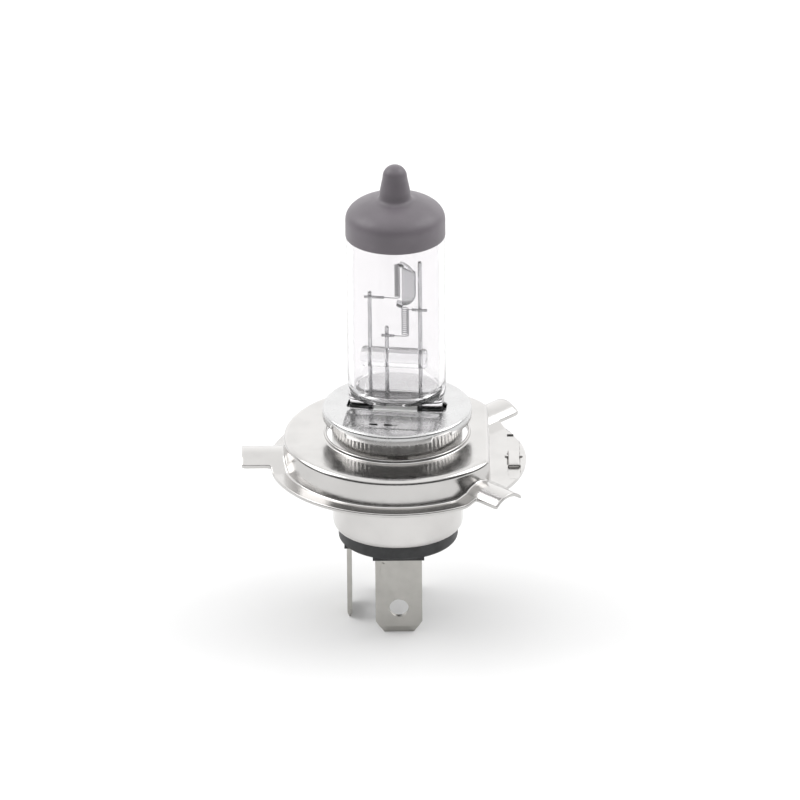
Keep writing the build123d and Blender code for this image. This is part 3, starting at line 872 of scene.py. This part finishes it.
def ring_skin():
    """One closed sheet: lip, flat top, wall, flange and lugs, and back under."""
    angles = ring_angles()
    rings = []

    def add(radius, height):
        ring = []
        for a in angles:
            r = radius(a)
            x, y = r * cos(a), r * sin(a)
            ring.append((x, y, height(x, y)))
        rings.append(ring)

    def level(z):
        return lambda x, y: z

    add(lambda a: LIP_R, level(LIP_Z - 0.12))
    add(lambda a: LIP_R + 0.1, level(LIP_Z))
    add(lambda a: LIP_R + LIP_T - 0.1, level(LIP_Z))
    add(lambda a: LIP_R + LIP_T, level(LIP_Z - 0.12))
    for i in range(6):
        b = radians(90 * i / 5)
        add(lambda a, b=b: LIP_R + LIP_T + 0.3 * (1 - cos(b)), level(STEP_Z + 0.3 * (1 - sin(b))))
    for i in range(1, 7):
        add(lambda a, i=i: TOP_START_R + (wall_radius(a) - STEP_BEND - TOP_START_R) * i / 7, level(STEP_Z))
    for i in range(10):
        b = radians(90 * i / 9)
        add(lambda a, b=b: wall_radius(a) - STEP_BEND * (1 - sin(b)),
            level(STEP_Z - STEP_BEND * (1 - cos(b))))
    for z in (3.0, 2.4):
        add(wall_radius, level(z))
    foot = FOOT_BEND
    for i in range(6):
        b = radians(90 * i / 5)
        add(lambda a, b=b: wall_radius(a) + foot * (1 - cos(b)),
            lambda x, y, b=b: lug_height(x, y) + foot * (1 - sin(b)))
    for i in range(1, 15):
        add(lambda a, i=i: wall_radius(a) + foot + (outer_radius(a) - 0.08 - wall_radius(a) - foot) * i / 14,
            lug_height)
    add(outer_radius, lambda x, y: lug_height(x, y) - 0.08)
    add(outer_radius, lambda x, y: lug_height(x, y) - SHEET + 0.08)
    for i in range(14, 0, -2):
        add(lambda a, i=i: (wall_radius(a) - SHEET
                            + (outer_radius(a) - 0.08 - wall_radius(a) + SHEET) * i / 14),
            lambda x, y: lug_height(x, y) - SHEET)
    add(lambda a: wall_radius(a) - SHEET, lambda x, y: lug_height(x, y) - SHEET)
    for z in (2.4, STEP_Z - STEP_BEND):
        add(lambda a: wall_radius(a) - SHEET, level(z))
    for i in range(1, 6):
        b = radians(90 * i / 5)
        add(lambda a, b=b: wall_radius(a) - SHEET - 0.3 * (1 - cos(b)),
            level(STEP_Z - STEP_BEND + 0.3 * sin(b)))
    add(lambda a: LIP_R + 0.02, level(STEP_Z - SHEET))
    points, faces = lofted(rings, close_start=False, close_end=False)
    count = len(angles)
    last = (len(rings) - 1) * count
    faces += [(last + i, last + (i + 1) % count, (i + 1) % count, i) for i in range(count)]
    return points, [tuple(reversed(face)) for face in faces]


def rounded_block(x0, x1, y0, y1, z0, z1, r):
    """A block with its four upper edges and its upright corners rounded."""
    rings = []
    quarter = range(0, 91, 15)
    profile = [(0, z0)] + [(r * (1 - cos(radians(b))), z1 - r + r * sin(radians(b))) for b in quarter]
    for inset, z in profile:
        ring = []
        for cx, cy, start in ((x1, y1, 0), (x0, y1, 90), (x0, y0, 180), (x1, y0, 270)):
            for b in quarter:
                a = radians(start + b)
                corner = max(0.02, r - inset)
                px = cx - (r if cx == x1 else -r) + corner * cos(a)
                py = cy - (r if cy == y1 else -r) + corner * sin(a)
                ring.append((px, py, z))
        rings.append(ring)
    return lofted(rings)


def carved(piece, cutter_skins):
    """Cuts closed skins out of a piece and bakes the result into its mesh."""
    cutters = []
    for number, (points, faces) in enumerate(cutter_skins):
        cutter = piece_from(f"cutter_{number}", points, faces, piece.data.materials[0],
                            smooth=False)
        cut = piece.modifiers.new(cutter.name, "BOOLEAN")
        cut.operation = "DIFFERENCE"
        cut.solver = "EXACT"
        cut.object = cutter
        cutters.append(cutter)
    bpy.context.view_layer.update()
    mesh = bpy.data.meshes.new_from_object(piece.evaluated_get(bpy.context.evaluated_depsgraph_get()))
    piece.modifiers.clear()
    piece.data = mesh
    for cutter in cutters:
        bpy.data.objects.remove(cutter)
    return piece


def build_ring(material):
    points, faces = ring_skin()
    ring = piece_from("flange_ring", points, faces, material)
    return carved(ring, [rounded_block(*GROOVE_BOX, 0.05)])


# ---------------------------------------------------------------- the metal and plastic pieces

class BULB_OT_wires(bpy.types.Operator):
    """Finish the posts, crimped sleeves, leads and seal foils"""

    bl_idname = "bulb.wires"
    bl_label = "Posts, leads and foils"

    def execute(self, context):
        wires = [f"{which}_{kind}" for kind in ("post", "sleeve") for which in ("dipped", "main", "common")]
        leads = ["lead_dipped", "lead_main", "lead_common"]
        dress(wires + leads, wire_material("molybdenum_wire", (0.60, 0.60, 0.61), 0.24))
        dress(["foil_dipped", "foil_main", "foil_common"], wire_material("seal_foil", (0.3, 0.3, 0.31), 0.4))
        return {"FINISHED"}


class BULB_OT_shield(bpy.types.Operator):
    """Build the spoon-shaped shield beside the dipped coil"""

    bl_idname = "bulb.shield"
    bl_label = "Beam shield"

    def execute(self, context):
        points, faces = shield_skin()
        metal = plated_material("shield_molybdenum", (0.60, 0.60, 0.61), 0.14, 0.24, bump=0.02)
        shield = piece_from("beam_shield", burner_turned(points), faces, metal)
        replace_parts(shield, "dipped_shield")
        return {"FINISHED"}


class BULB_OT_coils(bpy.types.Operator):
    """Build the two tungsten coils with their legs"""

    bl_idname = "bulb.coils"
    bl_label = "Coils"

    def execute(self, context):
        tungsten = wire_material("tungsten_wire", (0.24, 0.24, 0.25), 0.4)
        for name, spec in COILS.items():
            points, faces = tube_skin(coil_path(**spec), COIL_WIRE_R)
            coil = piece_from(name.replace("filament", "coil"), burner_turned(points), faces,
                              tungsten)
            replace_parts(coil, name)
        return {"FINISHED"}


class BULB_OT_bridge(bpy.types.Operator):
    """Finish the quartz rod that holds the posts apart"""

    bl_idname = "bulb.bridge"
    bl_label = "Quartz bridge"

    def execute(self, context):
        # The paler tint is painted light on quartz of the same kind as the envelope.
        dress(["quartz_bridge"], quartz_material(BRIDGE_PAINTED_LIGHT_TINT))
        return {"FINISHED"}


class BULB_OT_sleeve(bpy.types.Operator):
    """Build the ribbed base sleeve"""

    bl_idname = "bulb.sleeve"
    bl_label = "Ribbed sleeve"

    def execute(self, context):
        # Painted light: the sleeve is the ring's nickel made 15% brighter, a lit copy of the same finish.
        colour = tinted(context.scene.bulb_metal.ring_colour, 1.15)
        points, faces = sleeve_skin()
        metal = plated_material("sleeve_nickel_painted_light", colour, 0.18, 0.26, (1, 1, 0.1), bump=0.03)
        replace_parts(piece_from("ribbed_sleeve", points, faces, metal), "base_shell")
        return {"FINISHED"}


class BULB_OT_retainer(bpy.types.Operator):
    """Build the retainer disc and its tongues, and finish the clip below"""

    bl_idname = "bulb.retainer"
    bl_label = "Retainer and clip"

    def execute(self, context):
        colour = context.scene.bulb_metal.retainer_colour
        points, faces = retainer_skin()
        plate = piece_from("retainer_disc", burner_turned(points), faces,
                           plated_material("retainer_steel", colour, 0.2, 0.3, bump=0.02))
        slits = []
        for x in SLIT_XS:
            points, faces = rounded_block(x, x + SLIT_W, *SLIT_Y, DISC_TOP_Z - 1.5, DISC_TOP_Z + 1.0, 0.1)
            slits.append((burner_turned(points), faces))
        carved(plate, slits)
        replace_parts(plate, "retainer_plate")
        points, faces = merged(tongue_skin(-1), tongue_skin(1))
        # Painted light: the tongues are the retainer's steel made pale, as if lit from the front.
        tongue_painted_light = plated_material("tongue_steel_painted_light", (0.86, 0.86, 0.85), 0.45, 0.6, bump=0.02)
        tongues = piece_from("retainer_tongues", burner_turned(points), faces, tongue_painted_light,
                             smooth=False)
        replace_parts(tongues, "retainer_plate")
        dress(["pinch_clip"], plated_material("clip_steel", (0.5, 0.5, 0.5), 0.25, 0.35))
        return {"FINISHED"}


class BULB_OT_ring(bpy.types.Operator):
    """Build the flange ring with its lanced bridge and weld tabs"""

    bl_idname = "bulb.ring"
    bl_label = "Flange ring"

    def execute(self, context):
        metal = plated_material("ring_nickel", context.scene.bulb_metal.ring_colour, 0.15, 0.22, bump=0.02)
        ring = build_ring(metal)
        x0, x1, y0, y1 = BRIDGE_BOX
        skins = [rounded_block(x0 + 0.02, x1 - 0.02, y0, y1, -0.28, 0.38, 0.3),
                 rounded_block(x0 - 0.5, x0 + 0.1, *NUB_BOX, 0.15),
                 rounded_block(x1 - 0.1, x1 + 0.5, *NUB_BOX, 0.15)]
        for angle in WELD_TAB_ANGLES:
            points, faces = rounded_block(SLEEVE_R + 0.03, LIP_R + 0.2, -TAB_HALF, TAB_HALF,
                                          STEP_Z - SHEET, STEP_Z, 0.1)
            turn = Matrix.Rotation(radians(angle), 3, "Z")
            skins.append(([turn @ Vector(p) for p in points], faces))
        points, faces = merged(*skins)
        bridge = piece_from("ring_bridge", points, faces, metal)
        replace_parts(ring, "adapter_ring")
        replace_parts(bridge, "adapter_ring")
        return {"FINISHED"}


class BULB_OT_blades(bpy.types.Operator):
    """Finish the three blade terminals"""

    bl_idname = "bulb.blades"
    bl_label = "Blades"

    def execute(self, context):
        dress(["terminal_main", "terminal_dipped", "terminal_common"],
              plated_material("blade_tin", context.scene.bulb_metal.blade_colour, 0.32, 0.48))
        return {"FINISHED"}


class BULB_OT_insulator(bpy.types.Operator):
    """Finish the moulded insulator"""

    bl_idname = "bulb.insulator"
    bl_label = "Insulator"

    def execute(self, context):
        dress(["insulator"], plastic_material(context.scene.bulb_metal.plastic_colour))
        return {"FINISHED"}


# ---------------------------------------------------------------- the stage

SKY_FRONT = 0.1
SKY_SIDE = 0.12
SKY_BACK = 1.5
SKY_TOP = 1.35
SOFT_BOXES = {"left_box": (-0.7, 0.1, 0.6), "right_box": (0.7, 0.1, 0.6)}
SOFT_BOX_SIDE = 0.6
SENSOR_WIDTH = 36


class BULB_OT_stage(bpy.types.Operator):
    """Set up the floor, the soft light and the camera"""

    bl_idname = "bulb.stage"
    bl_label = "Stage"

    def execute(self, context):
        stage = context.scene.bulb_stage
        self.add_floor(stage)
        self.add_sky(context.scene, stage)
        for name, place in SOFT_BOXES.items():
            self.add_soft_box(name, place, stage.lamp_power)
        self.add_camera(context.scene, stage)
        context.scene.view_settings.view_transform = "Standard"
        return {"FINISHED"}

    def add_floor(self, stage):
        half = stage.floor_size / 2 / MM
        z = CAD_BOX[0][2] / MM
        mesh = bpy.data.meshes.new("floor")
        corners = [(-half, -half, z), (half, -half, z), (half, half, z), (-half, half, z)]
        mesh.from_pydata([Vector(c) * MM for c in corners], [], [(0, 1, 2, 3)])
        mesh.materials.append(floor_material(stage.floor_colour))
        floor = bpy.data.objects.new("floor", mesh)
        bpy.context.scene.collection.objects.link(floor)

    def add_sky(self, scene, stage):
        """Even light that is bright behind the bulb and overhead, and dim in front and at the sides."""
        world = bpy.data.worlds.new("soft_sky")
        world.use_nodes = True
        scene.world = world
        tree = world.node_tree
        background = next(n for n in tree.nodes if n.type == "BACKGROUND")
        coords = tree.nodes.new("ShaderNodeTexCoord")
        parts = tree.nodes.new("ShaderNodeSeparateXYZ")
        tree.links.new(coords.outputs["Generated"], parts.inputs[0])

        def between(source, start, stop, low, high):
            node = tree.nodes.new("ShaderNodeMapRange")
            node.interpolation_type = "SMOOTHSTEP"
            for name, value in (("From Min", start), ("From Max", stop)):
                node.inputs[name].default_value = value
            for name, value in (("To Min", low), ("To Max", high)):
                if isinstance(value, float):
                    node.inputs[name].default_value = value
                else:
                    tree.links.new(value, node.inputs[name])
            tree.links.new(source, node.inputs["Value"])
            return node.outputs["Result"]

        low_sky = between(parts.outputs["Y"], -0.85, -0.2, SKY_FRONT, SKY_SIDE)
        low_sky = between(parts.outputs["Y"], 0.1, 0.75, low_sky, SKY_BACK)
        level = between(parts.outputs["Z"], 0.45, 0.8, low_sky, SKY_TOP)
        tree.links.new(level, background.inputs["Color"])
        background.inputs["Strength"].default_value = stage.sky_level

    def add_soft_box(self, name, place, power):
        lamp = bpy.data.lights.new(name, "AREA")
        lamp.shape = "RECTANGLE"
        lamp.size = lamp.size_y = SOFT_BOX_SIDE
        lamp.energy = power
        obj = bpy.data.objects.new(name, lamp)
        obj.location = place
        obj.rotation_euler = Vector(place).to_track_quat("Z", "Y").to_euler()
        bpy.context.scene.collection.objects.link(obj)

    def add_camera(self, scene, stage):
        aim = Vector((stage.aim_side, 0, stage.aim_height))
        e = stage.camera_elevation
        back = Vector((0, -cos(e), sin(e)))
        lens = bpy.data.cameras.new("main_camera")
        lens.lens = stage.focal_length
        lens.sensor_width = SENSOR_WIDTH
        lens.clip_end = 20
        camera = bpy.data.objects.new("camera", lens)
        turn = back.to_track_quat("Z", "Y").to_matrix() @ Matrix.Rotation(stage.camera_roll, 3, "Z")
        camera.matrix_world = Matrix.Translation(aim + back * stage.camera_distance) @ turn.to_4x4()
        scene.collection.objects.link(camera)
        scene.camera = camera


# ---------------------------------------------------------------- panel and running

STEPS = (BULB_OT_stage, BULB_OT_envelope, BULB_OT_coating, BULB_OT_wires, BULB_OT_shield, BULB_OT_coils,
         BULB_OT_bridge, BULB_OT_sleeve, BULB_OT_retainer, BULB_OT_ring, BULB_OT_blades, BULB_OT_insulator)
SETTINGS = {"bulb_stage": BulbStageSettings, "bulb_glass": BulbGlassSettings, "bulb_metal": BulbMetalSettings}


class BULB_PT_panel(bpy.types.Panel):
    """Lists every step of the dressing"""

    bl_label = "Headlight bulb"
    bl_idname = "BULB_PT_panel"
    bl_space_type = "VIEW_3D"
    bl_region_type = "UI"
    bl_category = "Bulb"

    def draw(self, context):
        for step in STEPS:
            self.layout.operator(step.bl_idname)
        for name, group in SETTINGS.items():
            box = self.layout.box()
            for prop in group.__annotations__:
                box.prop(getattr(context.scene, name), prop)


def register():
    for cls in (*SETTINGS.values(), *STEPS, BULB_PT_panel):
        bpy.utils.register_class(cls)
    for name, group in SETTINGS.items():
        setattr(bpy.types.Scene, name, bpy.props.PointerProperty(type=group))


def unregister():
    for name in SETTINGS:
        delattr(bpy.types.Scene, name)
    for cls in reversed((*SETTINGS.values(), *STEPS, BULB_PT_panel)):
        bpy.utils.unregister_class(cls)


def main():
    register()
    for step in STEPS:
        group, name = step.bl_idname.split(".")
        getattr(getattr(bpy.ops, group), name)()


if __name__ == "__main__":
    main()
